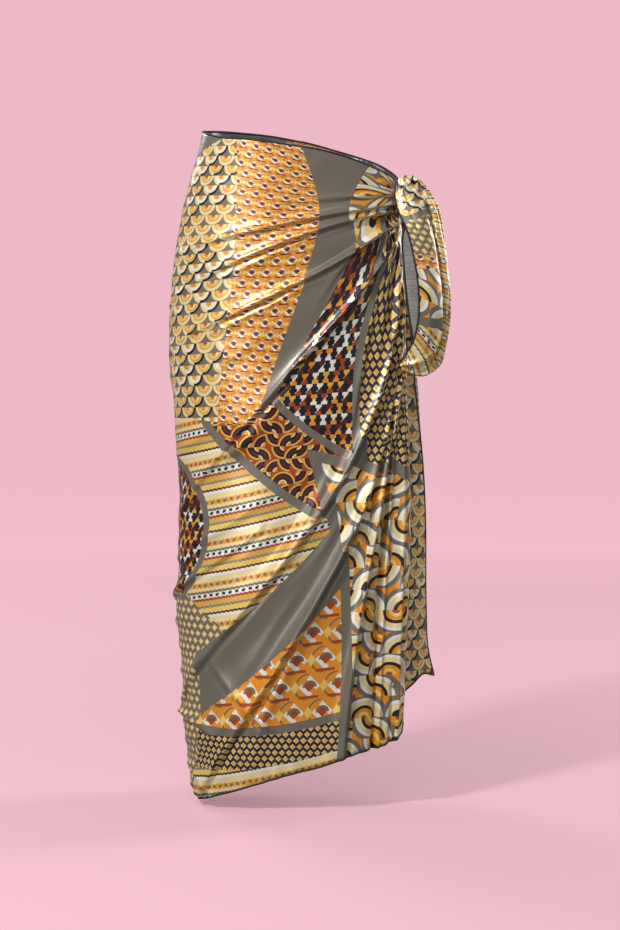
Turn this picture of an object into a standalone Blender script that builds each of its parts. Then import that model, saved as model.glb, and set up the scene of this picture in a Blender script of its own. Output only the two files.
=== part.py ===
"""A wrap sarong tied at the wearer's left hip, hollow and filled out as it is worn.

Metres, +Z up, +X to the wearer's left, -Y to the front. The origin is the middle of the waist.
The body form is a stack of rounded sections. An angle goes round it: 0 is the wearer's left,
90 the front, 180 the wearer's right and 270 the back.
"""
from collections import namedtuple

import bpy
import numpy as np
from mathutils import Vector
from mathutils.bvhtree import BVHTree

CLOTH = 0.0016           # thickness of a wall of cloth
BEAD = 0.0028            # thickness of the rolled hem
BEAD_DEPTH = 0.004       # how far the rolled hem reaches in, as a part of the cloth's drop
SEAM_GAP = 0.0003        # clearance between neighbouring pieces
SEAM_ANGLE = 196.0       # where the front stretch meets the back stretch
SQUARENESS = 2.3         # exponent of the sections: 2 is an ellipse
GIRTH_HEIGHT = -0.40     # level at which distances round the body are measured
WAIST_LEVEL = -0.06      # height of the waist edge at the knot
HEM_LEVEL = -0.90        # height of the hem at the middle of the front

# Body form: the sections' sides, half depth and middle.
Section = namedtuple("Section", "height left right depth middle_y")
SECTIONS = [
    Section(-1.00, -0.158, 0.171, 0.104, 0.000),
    Section(-0.90, -0.169, 0.180, 0.105, 0.000),
    Section(-0.80, -0.176, 0.186, 0.107, 0.000),
    Section(-0.70, -0.182, 0.189, 0.109, 0.000),
    Section(-0.60, -0.182, 0.190, 0.111, 0.002),
    Section(-0.50, -0.181, 0.188, 0.114, 0.005),
    Section(-0.40, -0.188, 0.182, 0.117, 0.008),
    Section(-0.30, -0.195, 0.175, 0.120, 0.012),
    Section(-0.20, -0.191, 0.168, 0.118, 0.011),
    Section(-0.10, -0.176, 0.159, 0.110, 0.006),
    Section(0.00, -0.149, 0.147, 0.100, 0.000),
    Section(0.04, -0.141, 0.143, 0.098, 0.000),
]

# Heights of the waist edge and the hem round the body.
Edge = namedtuple("Edge", "angle waist hem")
EDGES = [
    Edge(10, -0.064, -0.835),
    Edge(30, -0.048, -0.853),
    Edge(50, -0.033, -0.879),
    Edge(70, -0.018, -0.893),
    Edge(90, -0.006, -0.915),
    Edge(115, 0.004, -0.940),
    Edge(135, 0.008, -0.956),
    Edge(155, 0.015, -0.967),
    Edge(175, 0.022, -0.957),
    Edge(196, 0.026, -0.942),
    Edge(230, 0.028, -0.903),
    Edge(262, 0.021, -0.862),
    Edge(290, 0.001, -0.825),
    Edge(320, -0.021, -0.793),
    Edge(350, -0.048, -0.772),
    Edge(376, -0.062, -0.758),
]

# End of the front stretch: angle of the rounded column's side, angle of the free edge behind it,
# how full the pleat between them is, and how far the free edge flares from the body.
Pleat = namedtuple("Pleat", "height column edge fullness flare")
PLEAT = [
    Pleat(-0.90, 34.5, 8.0, 1.00, 0.022),
    Pleat(-0.80, 34.5, 6.0, 1.00, 0.020),
    Pleat(-0.75, 34.0, 5.0, 1.00, 0.007),
    Pleat(-0.68, 33.0, 6.0, 1.00, 0.002),
    Pleat(-0.55, 31.0, 8.0, 1.00, 0.001),
    Pleat(-0.45, 29.5, 12.0, 1.00, 0.001),
    Pleat(-0.34, 26.5, 17.0, 0.90, 0.000),
    Pleat(-0.20, 24.5, 17.0, 0.70, 0.000),
    Pleat(-0.12, 21.0, 16.0, 0.55, 0.000),
    Pleat(-0.05, 18.5, 14.5, 0.50, 0.000),
]
COLUMN_RADIUS = 0.008    # of the rounded fold at the column's side
TUCK_RADIUS = 0.0045     # of the hidden fold behind it
TUCK_REACH = 17.0        # degrees from the column's side to the hidden fold

# Height of the hem along that end, by the same stages as pleat_path: 0 is the free edge, 4 the column.
LeafHem = namedtuple("LeafHem", "stage height")
LEAF_HEMS = [
    LeafHem(0.00, -0.788),
    LeafHem(0.14, -0.783),
    LeafHem(0.35, -0.799),
    LeafHem(0.60, -0.817),
    LeafHem(1.00, -0.830),
    LeafHem(3.00, -0.845),
    LeafHem(4.00, -0.855),
]

# Folds: a curve through three places, each an angle and a height, how far the cloth rises
# there, the fold's half width at its first and last place, and how much wider its lower side is.
Fold = namedtuple("Fold", "name a0 z0 a1 z1 a2 z2 rise0 rise1 rise2 width0 width2 slump",
                  defaults=[1.0])
FOLDS = [
    Fold("waist", 24, -0.071, 60, -0.077, 100, -0.088, 0.004, 0.0035, 0.000, 0.006, 0.012),
    Fold("high", 28, -0.086, 88, -0.112, 158, -0.152, 0.005, 0.0060, 0.002, 0.006, 0.014),
    Fold("upper", 30, -0.097, 90, -0.138, 165, -0.226, 0.005, 0.0070, 0.003, 0.006, 0.014),
    Fold("hip", 30, -0.108, 92, -0.211, 172, -0.306, 0.006, 0.0085, 0.003, 0.006, 0.015),
    Fold("short", 31, -0.118, 62, -0.156, 84, -0.255, 0.005, 0.0045, 0.000, 0.006, 0.012),
    Fold("thigh", 31, -0.130, 84, -0.298, 168, -0.552, 0.006, 0.0090, 0.004, 0.006, 0.018),
    Fold("knee", 31, -0.150, 72, -0.470, 170, -0.822, 0.006, 0.0110, 0.003, 0.007, 0.023),
    Fold("shin", 30, -0.180, 68, -0.548, 150, -0.958, 0.005, 0.0110, 0.004, 0.007, 0.021),
    Fold("fan", 52, -0.235, 63, -0.345, 74, -0.478, 0.003, 0.0050, 0.000, 0.007, 0.010),
    Fold("second fan", 44, -0.285, 52, -0.380, 64, -0.462, 0.003, 0.0050, 0.000, 0.007, 0.009),
    Fold("next", 38, -0.345, 64, -0.640, 74, -0.900, 0.004, 0.0100, 0.008, 0.008, 0.018),
    Fold("column", 30, -0.200, 42, -0.560, 44, -0.900, 0.002, 0.0100, 0.010, 0.008, 0.016),
    Fold("valley", 34, -0.270, 52, -0.540, 57, -0.900, -0.003, -0.0090, -0.009, 0.006, 0.009),
    Fold("hollow", 34, -0.112, 72, -0.165, 116, -0.270, -0.003, -0.0040, 0.000, 0.006, 0.014),
    Fold("low", 88, -0.880, 110, -0.835, 134, -0.760, 0.002, 0.0055, 0.002, 0.012, 0.016),
    Fold("side", 106, -0.560, 165, -0.655, 226, -0.700, 0.002, 0.0110, 0.000, 0.013, 0.017, 2.6),
    Fold("hem", 118, -0.900, 172, -0.842, 226, -0.880, 0.000, 0.0115, 0.000, 0.012, 0.014, 2.4),
    Fold("second hem", 132, -0.985, 166, -0.925, 215, -0.900, 0.000, 0.0055, 0.000, 0.012, 0.016),
    Fold("back waist", 372, -0.075, 310, -0.058, 255, -0.050, 0.004, 0.0050, 0.001, 0.007, 0.015),
    Fold("back high", 371, -0.095, 300, -0.120, 215, -0.165, 0.005, 0.0070, 0.002, 0.007, 0.017),
    Fold("back hip", 370, -0.115, 292, -0.205, 196, -0.330, 0.006, 0.0085, 0.004, 0.007, 0.019),
    Fold("back thigh", 369, -0.140, 290, -0.330, 200, -0.560, 0.006, 0.0090, 0.004, 0.008, 0.022),
    Fold("back knee", 367, -0.180, 300, -0.470, 206, -0.800, 0.005, 0.0110, 0.004, 0.008, 0.025),
    Fold("back shin", 364, -0.230, 318, -0.540, 250, -0.880, 0.005, 0.0110, 0.006, 0.009, 0.024),
    Fold("back fall", 361, -0.280, 336, -0.560, 312, -0.810, 0.004, 0.0100, 0.008, 0.009, 0.018),
]
BACK_END = 374.0         # angle where the back stretch ends, under the front stretch
BACK_TUCK = 0.0055       # how far it lies under the front stretch's free edge
UNDER_ANGLE = 340.0      # from here the back stretch eases in under the front stretch
UNDER_REACH = 20.0       # degrees over which it does, and over which its folds die out
CREST = 1.6              # exponent of a fold's cross-section: 1 is a sharp crest, 2 a round one
FOLD_STEPS = 12          # straight steps along a fold's curve

# The bow loop: its front edge, spine and back edge, from the knot down to the tip.
Loop = namedtuple("Loop", "front spine back")
LOOP = [
    Loop((0.1400, -0.0680, -0.052), (0.1640, -0.0650, -0.046), (0.1671, -0.0510, -0.060)),
    Loop((0.1385, -0.0720, -0.074), (0.1800, -0.0670, -0.058), (0.1691, -0.0525, -0.078)),
    Loop((0.1430, -0.0830, -0.098), (0.2010, -0.0700, -0.091), (0.1600, -0.0640, -0.106)),
    Loop((0.1550, -0.0950, -0.126), (0.2090, -0.0730, -0.135), (0.1500, -0.0660, -0.134)),
    Loop((0.1640, -0.1020, -0.161), (0.2150, -0.0750, -0.180), (0.1520, -0.0710, -0.178)),
    Loop((0.1710, -0.1060, -0.205), (0.2190, -0.0760, -0.226), (0.1555, -0.0750, -0.216)),
    Loop((0.1720, -0.1060, -0.249), (0.2165, -0.0770, -0.274), (0.1600, -0.0770, -0.252)),
    Loop((0.1650, -0.1030, -0.284), (0.2050, -0.0790, -0.317), (0.1640, -0.0780, -0.281)),
    Loop((0.1550, -0.0980, -0.303), (0.1800, -0.0820, -0.337), (0.1590, -0.0800, -0.301)),
    Loop((0.1440, -0.0930, -0.320), (0.1490, -0.0870, -0.328), (0.1470, -0.0820, -0.319)),
]
LOOP_CROWN = 0.007       # how far the front leaf bows forward between its edge and the spine
LOOP_WIDTH = 0.05        # width of the leaf at which it bows that far

KNOT_CENTRE = (0.1555, -0.0500, -0.077)
KNOT_RADII = (0.0120, 0.0125, 0.033)
KNOT_TWISTS = 5          # furrows round the knot
KNOT_FURROW = 0.11       # depth of a furrow, as a part of the radius
KNOT_SEAT = 0.0011       # clearance kept between the knot's facets and the cloth it lies on

COLUMNS = {"leaf": 5, "tuck": 3, "return": 3, "roll": 4, "front": 40}
COLUMN_CROWDING = 1.45   # how much closer the front columns lie near the knot
BACK_COLUMNS = 22
ROWS = 38
ROW_CROWDING = 0.75      # how much closer the rows lie near the knot
LOOP_SECTIONS, LOOP_POINTS = 20, 13
KNOT_RINGS, KNOT_SIDES = 16, 20


def through(keys, values, at):
    """A smooth curve through the rows of a table, with values linear outside its ends."""
    keys, values = np.asarray(keys, float), np.asarray(values, float)
    slopes = np.gradient(values, keys)
    row = np.clip(np.searchsorted(keys, at) - 1, 0, len(keys) - 2)
    step = keys[row + 1] - keys[row]
    t = np.clip((at - keys[row]) / step, 0.0, 1.0)
    rise = (2 * t**3 - 3 * t**2 + 1) * values[row] + (3 * t**2 - 2 * t**3) * values[row + 1]
    return rise + step * ((t**3 - 2 * t**2 + t) * slopes[row] + (t**3 - t**2) * slopes[row + 1])


def column_of(table, key, name, at):
    """One named column of a table, read at the given values of its key."""
    return through([getattr(row, key) for row in table], [getattr(row, name) for row in table], at)


def body_point(angle, height):
    """Plan position on the body form."""
    left, right, depth, middle = (column_of(SECTIONS, "height", name, height)
                                  for name in ("left", "right", "depth", "middle_y"))
    across, along = np.cos(np.radians(angle)), np.sin(np.radians(angle))
    x = (left + right) / 2 + (right - left) / 2 * np.sign(across) * abs(across)**(2 / SQUARENESS)
    y = middle - depth * np.sign(along) * abs(along)**(2 / SQUARENESS)
    return x, y


def body_step(angle, height):
    """Plan vector for one degree along the body form, averaged over three."""
    ahead, behind = body_point(angle + 1.5, height), body_point(angle - 1.5, height)
    return (ahead[0] - behind[0]) / 3, (ahead[1] - behind[1]) / 3


def stand_off(angle, height, out):
    """Point that lies a distance out from the body form."""
    x, y = body_point(angle, height)
    step_x, step_y = body_step(angle, height)
    size = np.hypot(step_x, step_y)
    return np.stack([x - out * step_y / size, y + out * step_x / size, height + 0 * x], axis=-1)


def girth(angle):
    """Distance round the body from the wearer's left side."""
    turns = np.linspace(0.0, 400.0, 401)
    x, y = body_point(turns, np.full(turns.shape, GIRTH_HEIGHT))
    lengths = np.concatenate([[0.0], np.cumsum(np.hypot(np.diff(x), np.diff(y)))])
    return np.interp(angle, turns, lengths)


def fold_rise(angle, height):
    """How far the folds lift the cloth off the body form."""
    u, total = girth(angle), 0.0
    for fold in FOLDS:
        t = np.linspace(0.0, 1.0, FOLD_STEPS + 1)
        ways = ((1 - t) * (1 - 2 * t), 4 * t * (1 - t), t * (2 * t - 1))
        path_u = sum(w * girth(a) for w, a in zip(ways, (fold.a0, fold.a1, fold.a2)))
        path_z = sum(w * z for w, z in zip(ways, (fold.z0, fold.z1, fold.z2)))
        nearest, place, below = np.full(np.shape(u), 9.0), np.zeros(np.shape(u)), False
        for k in range(FOLD_STEPS):
            du, dz = path_u[k + 1] - path_u[k], path_z[k + 1] - path_z[k]
            s = np.clip(((u - path_u[k]) * du + (height - path_z[k]) * dz) / (du**2 + dz**2), 0, 1)
            gap = np.hypot(u - path_u[k] - s * du, height - path_z[k] - s * dz)
            place = np.where(gap < nearest, (k + s) / FOLD_STEPS, place)
            lower = ((u - path_u[k]) * dz - (height - path_z[k]) * du) * np.sign(du) > 0
            below = np.where(gap < nearest, lower, below)
            nearest = np.minimum(gap, nearest)
        width = fold.width0 + (fold.width2 - fold.width0) * place
        width = np.where(below, width * fold.slump, width)
        lift = np.interp(place, (0, 0.5, 1), (fold.rise0, fold.rise1, fold.rise2))
        total = total + lift * np.exp(-(nearest / width)**CREST)
    return total


def row_places(crowding):
    """Places of the rows from the waist edge (0) to the hem (1), crowded towards the knot,
    with the rolled hem's own row at each end."""
    even = np.linspace(0.0, 1.0, ROWS - 2)[:, None]
    inside = BEAD_DEPTH + (1 - 2 * BEAD_DEPTH) * ((1 - crowding) * even + crowding * even**3)
    return np.concatenate([0 * inside[:1], inside, 0 * inside[:1] + 1])


def bead_thickness(rows, columns, free_column, gathered=0):
    """Cloth thickness over a grid, thicker along its hems and its free upright edge, but not
    where its first columns are gathered into the knot."""
    thickness = np.full((rows, columns), CLOTH)
    thickness[0, gathered:] = BEAD
    thickness[-1, :] = BEAD
    thickness[1:, free_column] = BEAD
    return thickness


def add_piece(name, vertices, faces, colour):
    """One named object with its own printed satin material."""
    mesh = bpy.data.meshes.new(name)
    mesh.from_pydata([tuple(float(v) for v in point) for point in vertices], [], faces)
    mesh.validate()
    material = bpy.data.materials.new(name + "_satin")
    material.use_nodes = True
    shader = material.node_tree.nodes["Principled BSDF"]
    shader.inputs["Base Color"].default_value = (*colour, 1.0)
    shader.inputs["Roughness"].default_value = 0.4
    shader.inputs["Metallic"].default_value = 0.0
    mesh.materials.append(material)
    mesh.shade_smooth()
    piece = bpy.data.objects.new(name, mesh)
    bpy.context.scene.collection.objects.link(piece)
    return piece


def add_wall(name, grid, thickness, colour):
    """A closed wall of cloth round a grid of points on its middle surface."""
    rows, columns = grid.shape[:2]
    normal = np.cross(np.gradient(grid, axis=1), np.gradient(grid, axis=0))
    normal /= np.linalg.norm(normal, axis=2, keepdims=True)
    shift = normal * thickness[..., None] / 2
    vertices = np.concatenate([(grid + shift).reshape(-1, 3), (grid - shift).reshape(-1, 3)])
    inner = rows * columns
    faces = []
    for r in range(rows - 1):
        for c in range(columns - 1):
            a, b = r * columns + c, r * columns + c + 1
            d, e = a + columns, b + columns
            faces.append((a, b, e, d))
            faces.append((inner + a, inner + d, inner + e, inner + b))
    rim = list(range(columns))
    rim += [r * columns + columns - 1 for r in range(1, rows)]
    rim += [(rows - 1) * columns + c for c in range(columns - 2, -1, -1)]
    rim += [r * columns for r in range(rows - 2, 0, -1)]
    for a, b in zip(rim, rim[1:] + rim[:1]):
        faces.append((b, a, inner + a, inner + b))
    return add_piece(name, vertices, faces, colour)


def pleat_path(stage, height):
    """Angle and distance out along the front stretch's end, from its free edge (stage 0)
    through the leaf (1), the hidden fold (2) and the return (3) to the column's top (4)."""
    column, edge, fullness, flare = (column_of(PLEAT, "height", name, height)
                                     for name in ("column", "edge", "fullness", "flare"))
    step_x, step_y = body_step(column, height)
    degree = np.hypot(step_x, step_y)
    roll, tuck = COLUMN_RADIUS * fullness, TUCK_RADIUS * fullness
    turn, start = column + TUCK_REACH * fullness, column + roll / degree
    deep = 2 * roll + 2 * tuck
    part = np.clip(stage - np.floor(np.minimum(stage, 3.999)), 0, 1)
    bend = np.pi * part
    angle = np.select(
        [stage < 1, stage < 2, stage < 3],
        [edge + (turn - edge) * part,
         turn + tuck / degree * np.sin(bend),
         turn + (start - turn) * part],
        start - roll / degree * np.sin(bend))
    sunk = deep * np.clip(part * (turn - edge) / (column - edge), 0, 1)
    out = np.select(
        [stage < 1, stage < 2, stage < 3],
        [flare * (1 - part)**3 - CLOTH - sunk,
         tuck * (1 - np.cos(bend)) - deep,
         -2 * roll],
        -roll * (1 + np.cos(bend)))
    return angle, out


def seam_angle(side):
    """Angle of the seam at the back left, on the front's side (-1) or the back's (1)."""
    step_x, step_y = body_step(SEAM_ANGLE, GIRTH_HEIGHT)
    return SEAM_ANGLE + side * SEAM_GAP / 2 / np.hypot(step_x, step_y)


def front_columns():
    """Each column's stage along the pleat, and its share of the way from there to the seam."""
    stages, shares = [], []
    for number, name in enumerate(("leaf", "tuck", "return", "roll")):
        stages += list(number + np.linspace(0, 1, COLUMNS[name] + 1)[:-1])
    shares = [0.0] * len(stages)
    stages += [4.0] * (COLUMNS["front"] + 1)
    shares += list(np.linspace(0, 1, COLUMNS["front"] + 1)**COLUMN_CROWDING)
    return np.array(stages), np.array(shares)


def front_grid():
    """Middle surface of the front stretch, from its free edge to the seam at the back."""
    stages, shares = front_columns()

    def place(height):
        angle, out = pleat_path(np.broadcast_to(stages, height.shape), height)
        return angle + (seam_angle(-1) - angle) * shares, out

    waist = column_of(EDGES, "angle", "waist", place(np.full(shares.shape, WAIST_LEVEL))[0])
    hem = column_of(EDGES, "angle", "hem", place(np.full(shares.shape, HEM_LEVEL))[0])
    hem = np.where(stages < 4, column_of(LEAF_HEMS, "stage", "height", stages), hem)
    height = waist + (hem - waist) * row_places(ROW_CROWDING * (1 - shares)**1.5)
    angle, out = place(height)
    return stand_off(angle, height, out + np.clip(stages - 3, 0, 1) * fold_rise(angle, height))


def back_grid():
    """Middle surface of the back stretch, from the seam to its end under the front stretch."""
    shares = np.linspace(0, 1, BACK_COLUMNS)
    angles = seam_angle(1) + (BACK_END - seam_angle(1)) * shares
    waist = column_of(EDGES, "angle", "waist", angles)
    hem = column_of(EDGES, "angle", "hem", angles)
    height = waist + (hem - waist) * row_places(ROW_CROWDING * shares**1.5)
    angle = np.broadcast_to(angles, height.shape)
    edge, column, fullness = (column_of(PLEAT, "height", name, height)
                              for name in ("edge", "column", "fullness"))
    deep = 2 * (COLUMN_RADIUS + TUCK_RADIUS) * fullness
    sunk = deep * np.clip((angle - 360 - edge) / (column - edge), 0, 1)
    under = BACK_TUCK * np.clip((angle - UNDER_ANGLE) / UNDER_REACH, 0, 1)
    lifted = np.clip((UNDER_ANGLE + UNDER_REACH - angle) / UNDER_REACH, 0, 1)
    return stand_off(angle, height, fold_rise(angle, height) * lifted - sunk - under)


def loop_grid():
    """Middle surface of the bow loop: a sheet folded along its spine."""
    down = np.linspace(0, 1, LOOP_SECTIONS)
    keys = np.linspace(0, 1, len(LOOP))
    edges = [np.stack([through(keys, [getattr(row, name)[axis] for row in LOOP], down)
                       for axis in range(3)], axis=-1) for name in ("front", "spine", "back")]
    front, spine, back = edges
    size = np.linalg.norm(spine - front, axis=1, keepdims=True)
    bow = np.array([0.0, -LOOP_CROWN, 0.0]) * np.clip(size / LOOP_WIDTH, 0, 1)
    corners = [front,
               front * 0.62 + spine * 0.38 + bow,
               front * 0.18 + spine * 0.82 + bow * 0.9,
               spine,
               spine * 0.7 + back * 0.3 - bow * 0.5,
               spine * 0.3 + back * 0.7 - bow * 0.3,
               back]
    places = np.linspace(0, 1, LOOP_POINTS)
    grid = np.zeros((LOOP_SECTIONS, LOOP_POINTS, 3))
    for section in range(LOOP_SECTIONS):
        for axis in range(3):
            values = [corner[section][axis] for corner in corners]
            grid[section, :, axis] = through(np.linspace(0, 1, len(corners)), values, places)
    return grid[:, ::-1]


def outer_surface(wall):
    """The outer half of a wall, to seat other pieces on."""
    points = [vertex.co.copy() for vertex in wall.data.vertices]
    half = len(points) // 2
    outer = [tuple(face.vertices) for face in wall.data.polygons if max(face.vertices) < half]
    return BVHTree.FromPolygons(points, outer)


def seated(point, surface):
    """The point, lifted clear of a surface where it would sink into it."""
    for _ in range(3):
        place, normal, _, _ = surface.find_nearest(point)
        depth = (point - place).dot(normal)
        if depth >= KNOT_SEAT:
            break
        point = point + normal * (KNOT_SEAT - depth)
    return point


def add_knot(wall):
    """The tie: an upright twist of cloth that lies on the gathered front stretch."""
    surface = outer_surface(wall)
    vertices, faces = [], []
    for ring in range(1, KNOT_RINGS):
        tilt = np.pi * ring / KNOT_RINGS
        for side in range(KNOT_SIDES):
            turn = 2 * np.pi * side / KNOT_SIDES
            furrow = 1 - KNOT_FURROW * (0.5 + 0.5 * np.cos(KNOT_TWISTS * turn + 3 * tilt))
            x = KNOT_CENTRE[0] + KNOT_RADII[0] * np.sin(tilt) * np.cos(turn) * furrow
            y = KNOT_CENTRE[1] + KNOT_RADII[1] * np.sin(tilt) * np.sin(turn) * furrow
            vertices.append((x, y, KNOT_CENTRE[2] + KNOT_RADII[2] * np.cos(tilt)))
    vertices.append((KNOT_CENTRE[0], KNOT_CENTRE[1], KNOT_CENTRE[2] + KNOT_RADII[2]))
    vertices.append((KNOT_CENTRE[0], KNOT_CENTRE[1], KNOT_CENTRE[2] - KNOT_RADII[2]))
    top, bottom = len(vertices) - 2, len(vertices) - 1
    for side in range(KNOT_SIDES):
        after = (side + 1) % KNOT_SIDES
        faces.append((top, side, after))
        last = (KNOT_RINGS - 2) * KNOT_SIDES
        faces.append((bottom, last + after, last + side))
        for ring in range(KNOT_RINGS - 2):
            row = ring * KNOT_SIDES
            faces.append((row + side, row + KNOT_SIDES + side, row + KNOT_SIDES + after, row + after))
    vertices = [seated(Vector(point), surface) for point in vertices]
    return add_piece("knot", vertices, faces, (0.83, 0.66, 0.36))


for item in list(bpy.data.objects):
    bpy.data.objects.remove(item)

front = front_grid()
gathered = sum(COLUMNS.values()) - COLUMNS["front"] + 1
front_thickness = bead_thickness(*front.shape[:2], free_column=0, gathered=gathered)
front_wrap = add_wall("front_wrap", front, front_thickness, (0.78, 0.42, 0.10))
back = back_grid()
add_wall("back_wrap", back, bead_thickness(*back.shape[:2], free_column=-1), (0.42, 0.38, 0.33))
loop = loop_grid()
loop_thickness = np.full(loop.shape[:2], CLOTH)
loop_thickness[:, [0, -1]] = BEAD
add_wall("bow_loop", loop, loop_thickness, (0.86, 0.70, 0.36))
add_knot(front_wrap)
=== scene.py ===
"""Looks of the wrap sarong: the printed satin, its folds, rolled hems, knot and bow loop."""
from collections import namedtuple

import bpy
import numpy as np
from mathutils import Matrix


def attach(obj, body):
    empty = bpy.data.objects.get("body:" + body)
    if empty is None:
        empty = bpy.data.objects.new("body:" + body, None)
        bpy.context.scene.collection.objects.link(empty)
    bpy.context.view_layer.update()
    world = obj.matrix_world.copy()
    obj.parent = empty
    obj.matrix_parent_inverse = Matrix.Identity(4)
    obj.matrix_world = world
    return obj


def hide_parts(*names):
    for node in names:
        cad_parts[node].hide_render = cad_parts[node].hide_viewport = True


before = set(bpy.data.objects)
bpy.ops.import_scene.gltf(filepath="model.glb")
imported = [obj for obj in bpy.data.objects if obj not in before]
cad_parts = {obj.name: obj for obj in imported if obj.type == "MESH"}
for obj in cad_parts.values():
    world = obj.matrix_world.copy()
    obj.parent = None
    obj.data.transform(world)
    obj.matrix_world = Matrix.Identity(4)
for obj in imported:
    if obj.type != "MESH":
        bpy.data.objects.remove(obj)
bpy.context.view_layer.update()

# Front stretch.
# One end of a rectangle of printed satin, wound from its free edge at the wearer's left, through a
# deep pleat, across the front and round to the right side. It is held by the knot alone, so its
# folds fan out from there.

# Body form that the cloth lies on: the sections' sides, half depth and middle.
Section = namedtuple("Section", "height left right depth middle_y")
SECTIONS = [
    Section(-1.00, -0.158, 0.171, 0.104, 0.000),
    Section(-0.90, -0.169, 0.180, 0.105, 0.000),
    Section(-0.80, -0.176, 0.186, 0.107, 0.000),
    Section(-0.70, -0.182, 0.189, 0.109, 0.000),
    Section(-0.60, -0.182, 0.190, 0.111, 0.002),
    Section(-0.50, -0.181, 0.188, 0.114, 0.005),
    Section(-0.40, -0.188, 0.182, 0.117, 0.008),
    Section(-0.30, -0.195, 0.175, 0.120, 0.012),
    Section(-0.20, -0.191, 0.168, 0.118, 0.011),
    Section(-0.10, -0.176, 0.159, 0.110, 0.006),
    Section(0.00, -0.149, 0.147, 0.100, 0.000),
    Section(0.04, -0.141, 0.143, 0.098, 0.000),
]
SQUARENESS = 2.3
GIRTH_HEIGHT = -0.40

# Heights of the waist edge and the hem round the body. Angle 0 is the wearer's left, 90 the front.
Edge = namedtuple("Edge", "angle waist hem")
EDGES = [
    Edge(10, -0.064, -0.835),
    Edge(30, -0.048, -0.853),
    Edge(50, -0.033, -0.879),
    Edge(70, -0.018, -0.893),
    Edge(90, -0.006, -0.915),
    Edge(115, 0.004, -0.940),
    Edge(135, 0.008, -0.956),
    Edge(155, 0.015, -0.967),
    Edge(175, 0.022, -0.957),
    Edge(196, 0.026, -0.942),
    Edge(230, 0.028, -0.903),
    Edge(262, 0.021, -0.862),
    Edge(290, 0.001, -0.825),
    Edge(320, -0.021, -0.793),
    Edge(350, -0.048, -0.772),
    Edge(376, -0.062, -0.758),
]
SEAM_ANGLE = 196.0
WAIST_LEVEL, HEM_LEVEL = -0.06, -0.90

# The pleat: angle of the rounded column's side, angle of the free edge behind it, how full the
# pleat is between them, and how far the free edge flares from the body.
Pleat = namedtuple("Pleat", "height column edge fullness flare")
PLEAT = [
    Pleat(-0.90, 34.5, 8.0, 1.00, 0.022),
    Pleat(-0.80, 34.5, 6.0, 1.00, 0.020),
    Pleat(-0.75, 34.0, 5.0, 1.00, 0.007),
    Pleat(-0.68, 33.0, 6.0, 1.00, 0.002),
    Pleat(-0.55, 31.0, 8.0, 1.00, 0.001),
    Pleat(-0.45, 29.5, 12.0, 1.00, 0.001),
    Pleat(-0.34, 26.5, 17.0, 0.90, 0.000),
    Pleat(-0.20, 24.5, 17.0, 0.70, 0.000),
    Pleat(-0.12, 21.0, 16.0, 0.55, 0.000),
    Pleat(-0.05, 18.5, 14.5, 0.50, 0.000),
]
COLUMN_RADIUS, TUCK_RADIUS, TUCK_REACH = 0.008, 0.0045, 17.0
WALL = 0.0016

# Height of the hem along the pleat: stage 0 is the free edge, 4 the column.
LeafHem = namedtuple("LeafHem", "stage height")
LEAF_HEMS = [
    LeafHem(0.00, -0.788),
    LeafHem(0.14, -0.783),
    LeafHem(0.35, -0.799),
    LeafHem(0.60, -0.817),
    LeafHem(1.00, -0.830),
    LeafHem(3.00, -0.845),
    LeafHem(4.00, -0.855),
]

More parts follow.
